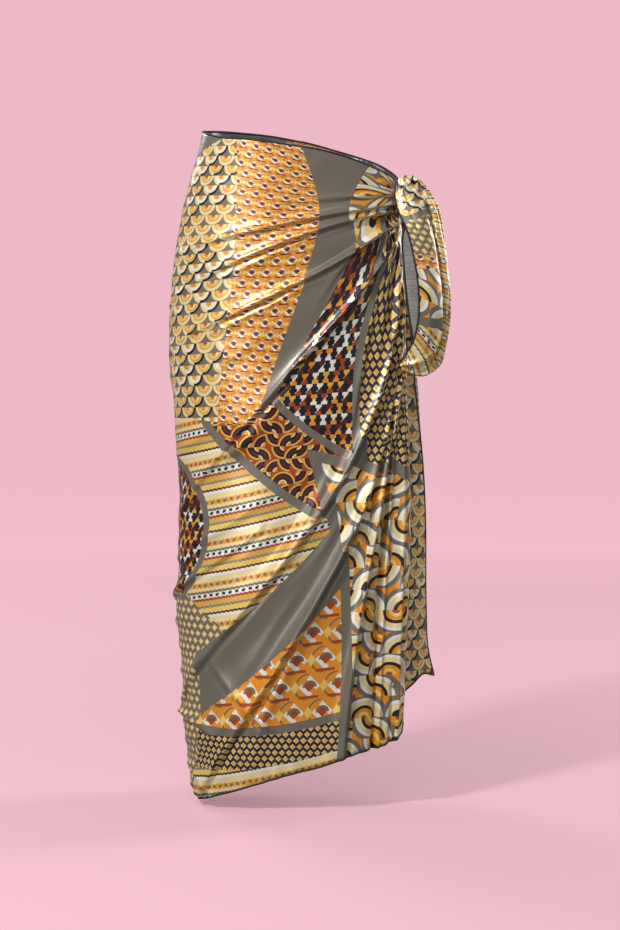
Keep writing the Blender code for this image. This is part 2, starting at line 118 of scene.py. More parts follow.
# Folds: a curve through three places, each an angle and a height, how far the cloth rises there,
# the fold's half width at its first and last place, and how much wider its lower side is.
Fold = namedtuple("Fold", "a0 z0 a1 z1 a2 z2 rise0 rise1 rise2 width0 width2 slump", defaults=[1.0])
FOLDS = [
    Fold(24, -0.071, 60, -0.077, 100, -0.088, 0.004, 0.0035, 0.000, 0.006, 0.012),
    Fold(28, -0.086, 88, -0.112, 164, -0.160, 0.005, 0.0064, 0.002, 0.006, 0.012),
    Fold(30, -0.097, 90, -0.138, 172, -0.236, 0.005, 0.0076, 0.002, 0.006, 0.012),
    Fold(30, -0.108, 92, -0.211, 178, -0.312, 0.006, 0.0092, 0.001, 0.006, 0.013),
    Fold(31, -0.118, 62, -0.156, 84, -0.255, 0.005, 0.0045, 0.000, 0.006, 0.012),
    Fold(31, -0.130, 84, -0.298, 168, -0.552, 0.006, 0.0105, 0.004, 0.006, 0.016),
    Fold(31, -0.150, 72, -0.470, 170, -0.822, 0.006, 0.0145, 0.006, 0.007, 0.018),
    Fold(30, -0.180, 68, -0.548, 150, -0.958, 0.005, 0.0155, 0.010, 0.007, 0.017),
    Fold(52, -0.235, 63, -0.345, 74, -0.478, 0.003, 0.0050, 0.000, 0.007, 0.010),
    Fold(44, -0.285, 52, -0.380, 64, -0.462, 0.003, 0.0050, 0.000, 0.007, 0.009),
    Fold(38, -0.345, 64, -0.640, 74, -0.900, 0.004, 0.0125, 0.010, 0.008, 0.016),
    Fold(30, -0.200, 42, -0.560, 44, -0.900, 0.002, 0.0125, 0.012, 0.008, 0.014),
    Fold(34, -0.270, 52, -0.540, 57, -0.900, -0.003, -0.0130, -0.012, 0.006, 0.009),
    Fold(34, -0.112, 72, -0.165, 116, -0.270, -0.003, -0.0040, 0.000, 0.006, 0.014),
    Fold(88, -0.880, 110, -0.835, 134, -0.760, 0.002, 0.0055, 0.002, 0.012, 0.016),
    Fold(106, -0.560, 165, -0.655, 226, -0.700, 0.002, 0.0110, 0.000, 0.013, 0.017, 2.6),
    Fold(118, -0.900, 172, -0.842, 226, -0.880, 0.000, 0.0115, 0.000, 0.012, 0.014, 2.4),
    Fold(132, -0.985, 166, -0.925, 215, -0.900, 0.000, 0.0055, 0.000, 0.012, 0.016),
    Fold(372, -0.075, 310, -0.058, 255, -0.050, 0.004, 0.0050, 0.001, 0.007, 0.015),
    Fold(371, -0.095, 300, -0.120, 215, -0.165, 0.005, 0.0070, 0.002, 0.007, 0.017),
    Fold(370, -0.115, 292, -0.205, 196, -0.330, 0.006, 0.0085, 0.004, 0.007, 0.019),
    Fold(369, -0.140, 290, -0.330, 200, -0.560, 0.006, 0.0090, 0.004, 0.008, 0.022),
    Fold(367, -0.180, 300, -0.470, 206, -0.800, 0.005, 0.0110, 0.004, 0.008, 0.025),
    Fold(364, -0.230, 318, -0.540, 250, -0.880, 0.005, 0.0110, 0.006, 0.009, 0.024),
    Fold(361, -0.280, 336, -0.560, 312, -0.810, 0.004, 0.0100, 0.008, 0.009, 0.018),
]
FOLD_STEPS = 12
CREST = 1.6               # exponent of a fold's cross-section: 1 is a sharp crest, 2 a round one
SHARP = 0.52              # share of a fold's rise that hangs over its lower side
OVERHANG = 0.0014         # least half width of that lower side
GROOVE = 0.8              # depth of the groove under it, as a part of the rise
TUCKED, TUCK_FADE = 0.030, 0.10   # cloth hidden under a crest, and how far below it that fades
FULL_RISE = 0.006         # rise at which a fold hides all that cloth
KNOT_FROM, KNOT_TO = 355, 40      # angles between which a fold starts at the knot

# Creases too fine for the folds' table, in the same columns: drag lines that run out of the knot,
# and the crumpled side over the hem.
CREASES = [
    Fold(26, -0.078, 50, -0.080, 78, -0.060, 0.003, 0.0014, 0, 0.003, 0.006),
    Fold(27, -0.090, 48, -0.098, 70, -0.104, -0.003, -0.0022, 0, 0.0026, 0.004),
    Fold(27, -0.101, 52, -0.116, 82, -0.142, -0.0028, -0.0026, 0, 0.0026, 0.005),
    Fold(28, -0.112, 50, -0.136, 74, -0.180, 0.0026, 0.0022, 0, 0.0028, 0.005),
    Fold(29, -0.122, 46, -0.160, 62, -0.225, -0.003, -0.0026, 0, 0.0028, 0.005),
    Fold(30, -0.134, 42, -0.190, 55, -0.290, 0.0026, 0.0024, 0, 0.0028, 0.005),
    Fold(29, -0.150, 37, -0.220, 47, -0.330, -0.0026, -0.0026, 0, 0.0028, 0.005),
    Fold(26, -0.160, 33, -0.260, 38, -0.380, 0.0022, 0.0022, 0, 0.0028, 0.0055),
    Fold(64, -0.094, 104, -0.124, 146, -0.146, 0, 0.0016, 0, 0.0035, 0.005),
    Fold(78, -0.128, 118, -0.190, 160, -0.222, 0.001, 0.002, 0.001, 0.003, 0.006),
    Fold(70, -0.170, 110, -0.254, 168, -0.304, 0.0012, 0.0022, 0.001, 0.003, 0.006),
    Fold(60, -0.210, 98, -0.378, 150, -0.520, 0.001, 0.002, 0.0006, 0.0035, 0.008),
    Fold(128, -0.300, 156, -0.330, 190, -0.352, 0, 0.003, 0, 0.006, 0.008),
    Fold(120, -0.395, 150, -0.440, 186, -0.458, 0, 0.0038, 0, 0.007, 0.009),
    Fold(150, -0.600, 172, -0.612, 196, -0.600, 0, 0.003, 0, 0.005, 0.005),
    Fold(156, -0.690, 176, -0.706, 200, -0.698, 0, 0.0036, 0, 0.005, 0.006),
    Fold(148, -0.735, 170, -0.742, 198, -0.730, 0, 0.003, 0, 0.005, 0.006),
    Fold(158, -0.772, 178, -0.782, 204, -0.770, 0, 0.0034, 0, 0.0045, 0.005),
    Fold(146, -0.868, 168, -0.882, 196, -0.896, 0, 0.0034, 0, 0.005, 0.006),
    Fold(140, -0.905, 164, -0.908, 190, -0.925, 0, -0.0026, 0, 0.005, 0.006),
    Fold(76, -0.560, 96, -0.680, 122, -0.800, 0, 0.002, 0, 0.007, 0.009),
    Fold(62, -0.700, 74, -0.810, 80, -0.905, 0, 0.003, 0.0016, 0.007, 0.010),
    Fold(40, -0.600, 47, -0.720, 49, -0.880, 0, 0.0022, 0.0012, 0.005, 0.007),
    Fold(336, -0.120, 300, -0.160, 262, -0.235, 0.0024, 0.002, 0, 0.004, 0.007),
    Fold(340, -0.170, 312, -0.250, 276, -0.380, 0.0024, 0.002, 0, 0.004, 0.008),
    Fold(344, -0.250, 326, -0.420, 300, -0.620, 0.002, 0.0024, 0, 0.005, 0.009),
    Fold(300, -0.640, 262, -0.740, 226, -0.790, 0, 0.003, 0, 0.008, 0.010),
    Fold(280, -0.780, 250, -0.820, 220, -0.830, 0, 0.0034, 0, 0.006, 0.008),
    Fold(262, -0.400, 236, -0.430, 206, -0.450, 0, 0.0022, 0, 0.007, 0.009),
    Fold(110, -0.060, 140, -0.064, 172, -0.052, 0, 0.0014, 0, 0.006, 0.009),
    Fold(100, -0.165, 130, -0.176, 164, -0.188, 0, 0.0018, 0, 0.004, 0.006),
    Fold(96, -0.268, 128, -0.330, 170, -0.382, 0, 0.0022, 0.0004, 0.005, 0.008),
    Fold(84, -0.350, 116, -0.440, 158, -0.500, 0, 0.004, 0.0008, 0.006, 0.009),
    Fold(100, -0.500, 136, -0.572, 176, -0.590, 0, 0.0042, 0.001, 0.006, 0.009),
    Fold(72, -0.420, 91, -0.560, 122, -0.720, 0.0004, 0.0044, 0, 0.006, 0.009),
    Fold(66, -0.450, 80, -0.570, 100, -0.660, 0, 0.0034, 0, 0.005, 0.007),
    Fold(31, -0.300, 47, -0.430, 57, -0.580, 0.002, 0.006, 0.002, 0.004, 0.008),
    Fold(35, -0.300, 52, -0.430, 63, -0.570, -0.002, -0.0056, -0.002, 0.003, 0.006),
    Fold(80, -0.640, 94, -0.730, 112, -0.830, 0, 0.0062, 0.001, 0.006, 0.010),
    Fold(116, -0.700, 144, -0.760, 172, -0.770, 0, 0.004, 0.0008, 0.006, 0.009),
    Fold(98, -0.760, 122, -0.840, 148, -0.880, 0, 0.0058, 0.0016, 0.006, 0.010),
    Fold(86, -0.700, 100, -0.800, 112, -0.900, 0, 0.0058, 0.0036, 0.006, 0.010),
    Fold(54, -0.420, 62, -0.560, 66, -0.700, 0.001, -0.0026, 0, 0.004, 0.006),
    Fold(36, -0.200, 43, -0.300, 48, -0.420, -0.002, -0.003, 0, 0.0028, 0.0045),
    Fold(33, -0.180, 40, -0.290, 44, -0.440, 0.002, 0.0028, 0, 0.0028, 0.0045),
    Fold(40, -0.185, 50, -0.290, 58, -0.400, 0.002, 0.0028, 0, 0.0028, 0.005),
]


def through(keys, values, at):
    """A smooth curve through the rows of a table, with values linear outside its ends."""
    keys, values = np.asarray(keys, float), np.asarray(values, float)
    slopes = np.gradient(values, keys)
    row = np.clip(np.searchsorted(keys, at) - 1, 0, len(keys) - 2)
    step = keys[row + 1] - keys[row]
    t = np.clip((at - keys[row]) / step, 0.0, 1.0)
    rise = (2 * t**3 - 3 * t**2 + 1) * values[row] + (3 * t**2 - 2 * t**3) * values[row + 1]
    return rise + step * ((t**3 - 2 * t**2 + t) * slopes[row] + (t**3 - t**2) * slopes[row + 1])


def column_of(table, key, name, at):
    """One named column of a table, read at the given values of its key."""
    return through([getattr(row, key) for row in table], [getattr(row, name) for row in table], at)


def body_point(angle, height):
    """Plan position on the body form."""
    left, right, depth, middle = (column_of(SECTIONS, "height", name, height)
                                  for name in ("left", "right", "depth", "middle_y"))
    across, along = np.cos(np.radians(angle)), np.sin(np.radians(angle))
    x = (left + right) / 2 + (right - left) / 2 * np.sign(across) * abs(across)**(2 / SQUARENESS)
    y = middle - depth * np.sign(along) * abs(along)**(2 / SQUARENESS)
    return x, y


def body_step(angle, height):
    """Plan vector for one degree along the body form, averaged over three."""
    ahead, behind = body_point(angle + 1.5, height), body_point(angle - 1.5, height)
    return (ahead[0] - behind[0]) / 3, (ahead[1] - behind[1]) / 3


def stand_off(angle, height, out):
    """Point that lies a distance out from the body form."""
    x, y = body_point(angle, height)
    step_x, step_y = body_step(angle, height)
    size = np.hypot(step_x, step_y)
    return np.stack([x - out * step_y / size, y + out * step_x / size, height + 0 * x], axis=-1)


def girth(angle):
    """Distance round the body from the wearer's left side."""
    turns = np.linspace(0.0, 400.0, 401)
    x, y = body_point(turns, np.full(turns.shape, GIRTH_HEIGHT))
    lengths = np.concatenate([[0.0], np.cumsum(np.hypot(np.diff(x), np.diff(y)))])
    return np.interp(angle, turns, lengths)


def rise_of(folds, angle, height, sharp):
    """How far the folds lift the cloth, and how much cloth they hide across and down.
    The sharp share of a fold hangs over: it has a steep lower side, with a groove under it.
    Folds that start at the knot hide cloth under their crests, so the print jumps there."""
    u, total, hidden = girth(angle), 0.0, [0.0, 0.0]
    for fold in folds:
        t = np.linspace(0.0, 1.0, FOLD_STEPS + 1)
        ways = ((1 - t) * (1 - 2 * t), 4 * t * (1 - t), t * (2 * t - 1))
        path_u = sum(w * girth(a) for w, a in zip(ways, (fold.a0, fold.a1, fold.a2)))
        path_z = sum(w * z for w, z in zip(ways, (fold.z0, fold.z1, fold.z2)))
        nearest, place, below = np.full(np.shape(u), 9.0), np.zeros(np.shape(u)), False
        lean = [0.0, 0.0]
        for k in range(FOLD_STEPS):
            du, dz = path_u[k + 1] - path_u[k], path_z[k + 1] - path_z[k]
            s = np.clip(((u - path_u[k]) * du + (height - path_z[k]) * dz) / (du**2 + dz**2), 0, 1)
            gap = np.hypot(u - path_u[k] - s * du, height - path_z[k] - s * dz)
            closer = gap < nearest
            place = np.where(closer, (k + s) / FOLD_STEPS, place)
            lower = ((u - path_u[k]) * dz - (height - path_z[k]) * du) * np.sign(du) > 0
            below = np.where(closer, lower, below)
            size = np.hypot(du, dz) * np.sign(du)
            lean = [np.where(closer, -dz / size, lean[0]), np.where(closer, du / size, lean[1])]
            nearest = np.minimum(gap, nearest)
        width = fold.width0 + (fold.width2 - fold.width0) * place
        wide = np.where(below, width * fold.slump, width)
        lift = np.interp(place, (0, 0.5, 1), (fold.rise0, fold.rise1, fold.rise2))
        crest = np.exp(-(nearest / wide)**CREST)
        steep = np.where(below, 0.12 * width + OVERHANG, 0.34 * width + 0.001)
        lip = np.exp(-(nearest / steep)**1.2)
        groove = np.where(below, np.exp(-((nearest - 2.4 * steep) / (1.3 * steep))**2), 0)
        total = total + lift * ((1 - sharp) * crest + sharp * (lip - GROOVE * groove))
        if sharp:
            held = fold.a0 < KNOT_TO or fold.a0 > KNOT_FROM
            full = np.clip(fold.rise1 / FULL_RISE, 0, 1)
            tucked = TUCKED * held * np.clip(1 - place, 0, 1)**1.3 * full
            share = np.where(below, 1 - np.exp(-nearest / OVERHANG), 0) * np.exp(-nearest / TUCK_FADE)
            hidden = [hidden[0] + tucked * share * lean[0], hidden[1] + tucked * share * lean[1]]
    return total, hidden


SWELL, QUIVER = 0.0007, 0.0003


def sway(angle, height):
    """Slow unevenness of hung cloth: soft swells that lean the way the folds do."""
    u, z = girth(angle), height
    swell = np.sin(38 * z + 24 * u + 1.1 * np.sin(17 * u)) * np.sin(21 * u - 9 * z + 0.8)
    quiver = np.sin(96 * z + 58 * u + 2.0 * np.sin(29 * u + 13 * z))
    return SWELL * swell + QUIVER * quiver


def fold_rise(angle, height):
    """All that lifts the cloth off the body form, and the cloth that its folds hide."""
    total, hidden = rise_of(FOLDS, angle, height, SHARP)
    return total + rise_of(CREASES, angle, height, 0.0)[0] + sway(angle, height), hidden


def pleat_path(stage, height):
    """Angle and distance out along the front stretch's end, from its free edge (stage 0)
    through the leaf (1), the hidden fold (2) and the return (3) to the column's top (4)."""
    column, edge, fullness, flare = (column_of(PLEAT, "height", name, height)
                                     for name in ("column", "edge", "fullness", "flare"))
    step_x, step_y = body_step(column, height)
    degree = np.hypot(step_x, step_y)
    roll, tuck = COLUMN_RADIUS * fullness, TUCK_RADIUS * fullness
    turn, start = column + TUCK_REACH * fullness, column + roll / degree
    deep = 2 * roll + 2 * tuck
    part = np.clip(stage - np.floor(np.minimum(stage, 3.999)), 0, 1)
    bend = np.pi * part
    angle = np.select(
        [stage < 1, stage < 2, stage < 3],
        [edge + (turn - edge) * part,
         turn + tuck / degree * np.sin(bend),
         turn + (start - turn) * part],
        start - roll / degree * np.sin(bend))
    sunk = deep * np.clip(part * (turn - edge) / (column - edge), 0, 1)
    out = np.select(
        [stage < 1, stage < 2, stage < 3],
        [flare * (1 - part)**3 - WALL - sunk,
         tuck * (1 - np.cos(bend)) - deep,
         -2 * roll],
        -roll * (1 + np.cos(bend)))
    return angle, out


def row_places(rows, crowding):
    """Places of the rows from the waist edge (0) to the hem (1), crowded towards the knot."""
    even = np.linspace(0.0, 1.0, rows)[:, None]
    return (1 - crowding) * even + crowding * even**3


# The print runs on the cloth, so each point carries its place on it in metres: how far it is from
# the column and below the knot. The knot holds a bunch of cloth, so near it these places fan out.
KNOT_LEVEL = -0.075
BUNCH, BUNCH_REACH = 0.12, 0.18


def cloth_place(across, height):
    """Place on the flat cloth of a point that lies so far across and at such a height."""
    down = KNOT_LEVEL - height
    reach = np.hypot(across, down) + 1e-4
    spread = 1 + BUNCH * np.exp(-reach / BUNCH_REACH) / reach
    return np.stack([across * spread, down * spread], axis=-1)


def place_grid(name, points, places):
    """A grid of cloth, given its points and their places on the flat cloth."""
    rows, columns = points.shape[:2]
    bpy.ops.object.select_all(action="DESELECT")
    bpy.ops.mesh.primitive_grid_add(x_subdivisions=columns - 1, y_subdivisions=rows - 1, size=1)
    cloth = bpy.context.object
    cloth.name = name
    mesh = cloth.data
    mesh.name = name
    mesh.vertices.foreach_set("co", points.reshape(-1).astype(np.float32))
    corners = np.zeros(len(mesh.loops), dtype=np.int32)
    mesh.loops.foreach_get("vertex_index", corners)
    flat = places.reshape(-1, 2)[corners]
    mesh.uv_layers[0].data.foreach_set("uv", flat.reshape(-1).astype(np.float32))
    mesh.update()
    bpy.ops.object.shade_smooth()
    return cloth


FRONT_COLUMNS = {"leaf": 26, "tuck": 6, "return": 8, "roll": 14, "front": 214}
COLUMN_CROWDING = 1.3
ROWS = 296
ROW_CROWDING = 0.72
SATIN = 0.0008
HEM_RIPPLE, RIPPLE_REACH = 0.0013, 0.016

# Each column's stage on the pleat's path, and past that path its share of the way to the seam.
stages = []
for number, part in enumerate(("leaf", "tuck", "return", "roll")):
    stages += list(number + np.linspace(0, 1, FRONT_COLUMNS[part] + 1)[:-1])
top = len(stages)
shares = np.linspace(0, 1, FRONT_COLUMNS["front"] + 1)**COLUMN_CROWDING
shares = np.concatenate([np.zeros(top), shares])
stages = np.array(stages + [4.0] * (FRONT_COLUMNS["front"] + 1))


def front_place(height):
    """Angle and distance out of every column of the front stretch at a height."""
    angle, out = pleat_path(np.broadcast_to(stages, height.shape), height)
    return angle + (SEAM_ANGLE - angle) * shares, out


waist = column_of(EDGES, "angle", "waist", front_place(np.full(shares.shape, WAIST_LEVEL))[0])
hem = column_of(EDGES, "angle", "hem", front_place(np.full(shares.shape, HEM_LEVEL))[0])
hem = np.where(stages < 4, column_of(LEAF_HEMS, "stage", "height", stages), hem)
height = waist + (hem - waist) * row_places(ROWS, ROW_CROWDING * (1 - shares)**1.5)
angle, out = front_place(height)
rise, hidden = fold_rise(angle, height)
ripple = HEM_RIPPLE * np.sin(180 * girth(angle) + 2 * np.sin(43 * girth(angle)))
rise = rise + ripple * np.exp((hem - height) / RIPPLE_REACH)
loose = np.clip(stages - 3, 0, 1)
points = stand_off(angle, height, out + loose * rise)
arc = np.cumsum(np.linalg.norm(np.diff(points[:, :top + 1], axis=1), axis=2), axis=1)
arc = np.concatenate([0 * arc[:, :1], arc], axis=1)
across = girth(angle) - girth(angle[:, top:top + 1])
across[:, :top + 1] = arc - arc[:, -1:]
front_cloth = place_grid("front_cloth", points,
                         cloth_place(across + loose * hidden[0], height - loose * hidden[1]))
height_at_seam, across_at_seam = height[:, -1], across[:, -1]

# The print: a generic patchwork in warm colours on taupe. Curved patches are filled with quilt
# triangles, lozenges, domes, rings, toothed stripes and nets. On the inside the print is mixed
# towards a dark grey-plum. That is partly the duller wrong side of the dye and partly painted shade of
# the garment's shadowed inside.


# Sockets that Blender tells apart by number alone.
MIX_SHARE, MIX_BASE, MIX_TOP, MIX_RESULT = 0, 6, 7, 2
OBJECT_PLACE = 3


class Value:
    """A number or colour over a surface; arithmetic on it adds Math nodes."""

    def __init__(self, paint, socket):
        self.paint, self.socket = paint, socket

    def math(self, operation, *values):
        inputs = {place: value for place, value in enumerate(values)}
        return self.paint.node("ShaderNodeMath", {"operation": operation}, inputs)

    def __add__(self, other):
        return self.math("ADD", self, other)

    def __sub__(self, other):
        return self.math("SUBTRACT", self, other)

    def __mul__(self, other):
        return self.math("MULTIPLY", self, other)

    def __truediv__(self, other):
        return self.math("DIVIDE", self, other)

    def __lt__(self, other):
        return self.math("LESS_THAN", self, other)

    def __gt__(self, other):
        return self.math("GREATER_THAN", self, other)

    def __abs__(self):
        return self.math("ABSOLUTE", self)

    __radd__ = __add__

    def floor(self):
        return self.math("FLOOR", self)

    def fract(self):
        return self.math("FRACT", self)

    def far(self, other):
        """Distance of a point whose two coordinates are this value and the other."""
        return self.math("SQRT", self * self + other * other)


class Paint:
    """A material that is mixed node by node."""

    def __init__(self, name):
        self.material = bpy.data.materials.new(name)
        self.material.use_nodes = True
        self.tree = self.material.node_tree
        self.shader = self.tree.nodes["Principled BSDF"]

    def feed(self, socket, value):
        """Links a value to a socket, or sets a plain number or colour on it."""
        if isinstance(value, Value):
            self.tree.links.new(value.socket, socket)
        else:
            socket.default_value = value

    def node(self, kind, settings, inputs, output=0):
        """Adds a node, makes its settings, feeds its inputs, and gives back one output."""
        made = self.tree.nodes.new(kind)
        for name, value in settings.items():
            if name == "stops":
                self.set_stops(made.color_ramp, value)
            else:
                setattr(made, name, value)
        for name, value in inputs.items():
            self.feed(made.inputs[name], value)
        return Value(self, made.outputs[output])

    def place(self, kind, settings, output):
        """The first two coordinates of the place that a node gives."""
        place = self.node(kind, settings, {}, output)
        return [self.node("ShaderNodeSeparateXYZ", {}, {0: place}, axis) for axis in (0, 1)]

    def set_stops(self, ramp, stops):
        """Flat steps of colour at the given places."""
        ramp.interpolation = "CONSTANT"
        ramp.elements.remove(ramp.elements[1])
        ramp.elements[0].color = stops[0][1]
        for place, colour in stops[1:]:
            ramp.elements.new(place).color = colour

    def over(self, share, base, colour):
        """The base colour with another colour over it, where the share is 1."""
        return self.node("ShaderNodeMix", {"data_type": "RGBA"},
                         {MIX_SHARE: share, MIX_BASE: base, MIX_TOP: colour}, MIX_RESULT)

    def steps(self, value, *stops):
        """Flat colours in steps along a value from 0 to 1."""
        return self.node("ShaderNodeValToRGB", {"stops": stops}, {0: value})

    def tiles(self, u, v, wide, high, shift):
        """Place in a tile, from -0.5 to 0.5 each way, and the tile's number each way."""
        row = (v / high).floor()
        along = u / wide + row * shift
        column = along.floor()
        return along - column - 0.5, (v / high).fract() - 0.5, column, row

    def chance(self, column, row):
        """A number from 0 to 1 that is the same all over one tile."""
        place = self.node("ShaderNodeCombineXYZ", {}, {0: column, 1: row})
        return self.node("ShaderNodeTexWhiteNoise", {"noise_dimensions": "2D"}, {"Vector": place})


def dye(code):
    """Linear colour of a six-digit hex code."""
    parts = [int(code[place:place + 2], 16) / 255 for place in (0, 2, 4)]
    return (*(p / 12.92 if p < 0.04045 else ((p + 0.055) / 1.055)**2.4 for p in parts), 1.0)


TAUPE, GREY = dye("766F63"), dye("8F8778")
ORANGE, AMBER, OCHRE = dye("EC9424"), dye("EFA330"), dye("E2AC4C")
CREAM, WHITE, GOLD = dye("EFD79E"), dye("EFEAE0"), dye("EFCB68")
RUST, MAROON, PLUM, BLACK = dye("A9481A"), dye("5E1E1A"), dye("33202C"), dye("17161C")


def lozenges(paint, u, v, wide, high, ground, wing, heart, hook):
    """Rows of cut lozenges, each with a heart and a bar, and hooks and points between them."""
    x, y = paint.tiles(u, v, wide, high, 0.5)[:2]
    diamond = abs(x) * 1.15 + abs(y)
    ring = x.far(y)
    colour = paint.over((abs(ring - 0.50) < 0.035) * (x > 0.05), ground, hook)
    colour = paint.over(abs(x) * 1.6 - abs(y) > 0.56, colour, GOLD)
    colour = paint.over(diamond < 0.42, colour, wing)
    colour = paint.over((abs(x + y * 0.9) < 0.13) * (diamond < 0.62), colour, ground)
    colour = paint.over((ring < 0.24) * (y < 0.02), colour, hook)
    colour = paint.over(diamond < 0.20, colour, heart)
    return paint.over((abs(x) < 0.34) * (abs(y - 0.40) < 0.055), colour, heart)


def scallops(paint, u, v, size, ground, rim, heart):
    """Rows of domes like fish scales, each with a ringed heart and one dark shoulder."""
    x, y, column, row = paint.tiles(u, v, size, size * 0.5, 0.5)
    ring = x.far(y * 0.5 + 0.25)
    chance = paint.chance(column, row)
    colour = paint.over(ring < 0.49, TAUPE, ground)
    colour = paint.over((ring < 0.49) * (ring > 0.37) * (x < 0.06) * (chance > 0.35), colour, BLACK)
    colour = paint.over(ring < 0.35, colour, paint.over(chance > 0.6, rim, WHITE))
    colour = paint.over(ring < 0.24, colour, ground)
    colour = paint.over((ring < 0.19) * (x > -0.08), colour, heart)
    return paint.over((ring < 0.09) * (chance < 0.5), colour, RUST)


def quilt(paint, u, v, wide, high, dark, *colours):
    """Chequered rows whose light squares are cut into two triangles."""
    x, y, column, row = paint.tiles(u, v, wide, high, 0.5)
    chance = paint.chance(column, row)
    stops = [(number / len(colours), colour) for number, colour in enumerate(colours)]
    first = paint.steps(chance, *stops)
    second = paint.steps((chance * 7.3).fract(), *stops)
    colour = paint.over(x * 1.1 > y, first, second)
    return paint.over(abs(x) + (abs(y) < 0.18) * 0.14 > 0.29, colour, dark)


def rings(paint, u, v, size, *stops):
    """Quarter rings round a corner of each tile, turned by chance."""
    x, y, column, row = paint.tiles(u, v, size, size * 0.9, 0.5)
    flip_x = (paint.chance(column, row) > 0.5) * 2 - 1
    flip_y = (paint.chance(row, column + 3) > 0.5) * 2 - 1
    corner = (x * flip_x + 0.5).far(y * flip_y + 0.5)
    return paint.steps(corner * 0.7, *stops)


def stripes(paint, u, v, high, tooth, *stops):
    """Stripes across the cloth with toothed edges, and a row of blocks along two of them."""
    teeth = abs((u / tooth).fract() - 0.5)
    run = (v / high + teeth * 0.05).fract()
    colour = paint.steps(run, *stops)
    block = (u / tooth / 1.5).fract() < 0.5
    colour = paint.over(block * (abs(run - 0.46) < 0.035), colour, BLACK)
    return paint.over(block * (abs(run - 0.20) < 0.035), colour, TAUPE)


def net(paint, u, v, wide, high, thread, eye, shade):
    """A small net of diamonds."""
    x, y = paint.tiles(u, v, wide, high, 0.5)[:2]
    diamond = abs(x) + abs(y) * 0.9
    colour = paint.over(diamond < 0.43, thread, shade)
    return paint.over(diamond + x * 0.25 < 0.31, colour, eye)


# Layout of the wrap's print: arcs on the cloth, and patches that lie inside one and outside another.
Arc = namedtuple("Arc", "u v radius")
ARCS = {
    "block": Arc(0.80, 0.10, 0.600),
    "block ribbon": Arc(0.80, -0.10, 0.705),
    "left edge": Arc(1.60, 0.20, 1.300),
    "low left": Arc(0.40, 0.95, 0.620),
    "waist ribbon": Arc(0.10, 0.65, 0.780),
    "knot": Arc(-0.02, 0.03, 0.190),
    "fan": Arc(-0.05, 0.02, 0.400),
    "fan ribbon": Arc(-0.05, 0.02, 0.410),
    "second": Arc(-0.07, 0.00, 0.515),
    "second ribbon": Arc(-0.07, 0.00, 0.527),
    "third": Arc(-0.07, 0.00, 0.725),
    "left block": Arc(0.44, 0.50, 0.110),
    "left block ribbon": Arc(0.44, 0.50, 0.121),
    "pleats": Arc(-0.60, 0.30, 0.697),
    "pleats ribbon": Arc(-0.60, 0.30, 0.709),
    "sweep inner": Arc(0.78, -0.02, 0.825),
    "sweep outer": Arc(0.62, 0.22, 0.615),
    "low": Arc(0.25, 0.85, 0.460),
    "low ribbon": Arc(0.25, 0.85, 0.474),
    "column": Arc(1.10, 0.75, 0.995),
    "column ribbon": Arc(1.10, 0.75, 1.010),
    "leaf": Arc(1.10, 0.45, 1.150),
    "side": Arc(0.60, 0.74, 0.270),
    "hem": Arc(0.28, 0.18, 0.600),
    "hem ribbon": Arc(0.28, 0.18, 0.612),
    "hem edge": Arc(0.33, 0.10, 0.745),
}
Patch = namedtuple("Patch", "pattern inside outside")
PATCHES = [
    Patch("quilt", "fan", "block ribbon"),
    Patch("dark rings", "second", "fan ribbon"),
    Patch("stripes", "third", "second ribbon"),
    Patch("grey net", None, "third"),
    Patch("plain", "left block ribbon", None),
    Patch("quilt", "left block", None),
    Patch("plain", "block ribbon", "low left"),
    Patch("orange rows", "block", "low left"),
    Patch("scallops", "left edge", "low left"),
    Patch("plain", None, "waist ribbon"),
    Patch("light rings", "knot", None),
    Patch("plain", None, "sweep inner"),
    Patch("plain", "pleats ribbon", None),
    Patch("gold net", "pleats", None),
    Patch("big lozenges", None, "sweep outer"),
    Patch("plain", None, "hem"),
    Patch("gold net", None, "hem ribbon"),
    Patch("stripes", None, "hem edge"),
    Patch("plain", "low ribbon", "column"),
    Patch("light rings", "low", "column ribbon"),
    Patch("scallops", None, "leaf"),
    Patch("grey net", "side", None),
]


def pattern(paint, name, u, v):
    """Colour of one of the print's patterns."""
    if name == "orange rows":
        return lozenges(paint, u, v + u * 0.18, 0.0205, 0.0145, ORANGE, WHITE, MAROON, TAUPE)
    if name == "big lozenges":
        return lozenges(paint, u, v - u * 0.1, 0.044, 0.038, ORANGE, WHITE, RUST, TAUPE)
    if name == "scallops":
        return scallops(paint, u, v, 0.030, CREAM, OCHRE, ORANGE)
    if name == "quilt":
        return quilt(paint, u, v, 0.016, 0.013, BLACK, WHITE, ORANGE, MAROON, OCHRE, RUST)
    if name == "gold net":
        return net(paint, u, v, 0.011, 0.009, PLUM, OCHRE, CREAM)
    if name == "grey net":
        return net(paint, u, v, 0.013, 0.011, TAUPE, CREAM, OCHRE)
    if name == "dark rings":
        return rings(paint, u, v, 0.019, (0, ORANGE), (0.17, CREAM), (0.25, BLACK),
                     (0.38, MAROON), (0.50, BLACK), (0.60, OCHRE), (0.70, RUST))
    if name == "light rings":
        return rings(paint, u, v, 0.034, (0, RUST), (0.10, GOLD), (0.20, ORANGE), (0.32, BLACK),
                     (0.42, CREAM), (0.56, WHITE), (0.66, TAUPE), (0.80, ORANGE))
    if name == "stripes":
        return stripes(paint, u, v - u * 0.34 + u * u * 0.27, 0.060, 0.007, (0, CREAM), (0.14, AMBER),
                       (0.26, CREAM), (0.34, TAUPE), (0.40, WHITE), (0.52, RUST), (0.58, OCHRE),
                       (0.70, GREY), (0.76, GOLD), (0.88, MAROON), (0.93, WHITE))
    return TAUPE


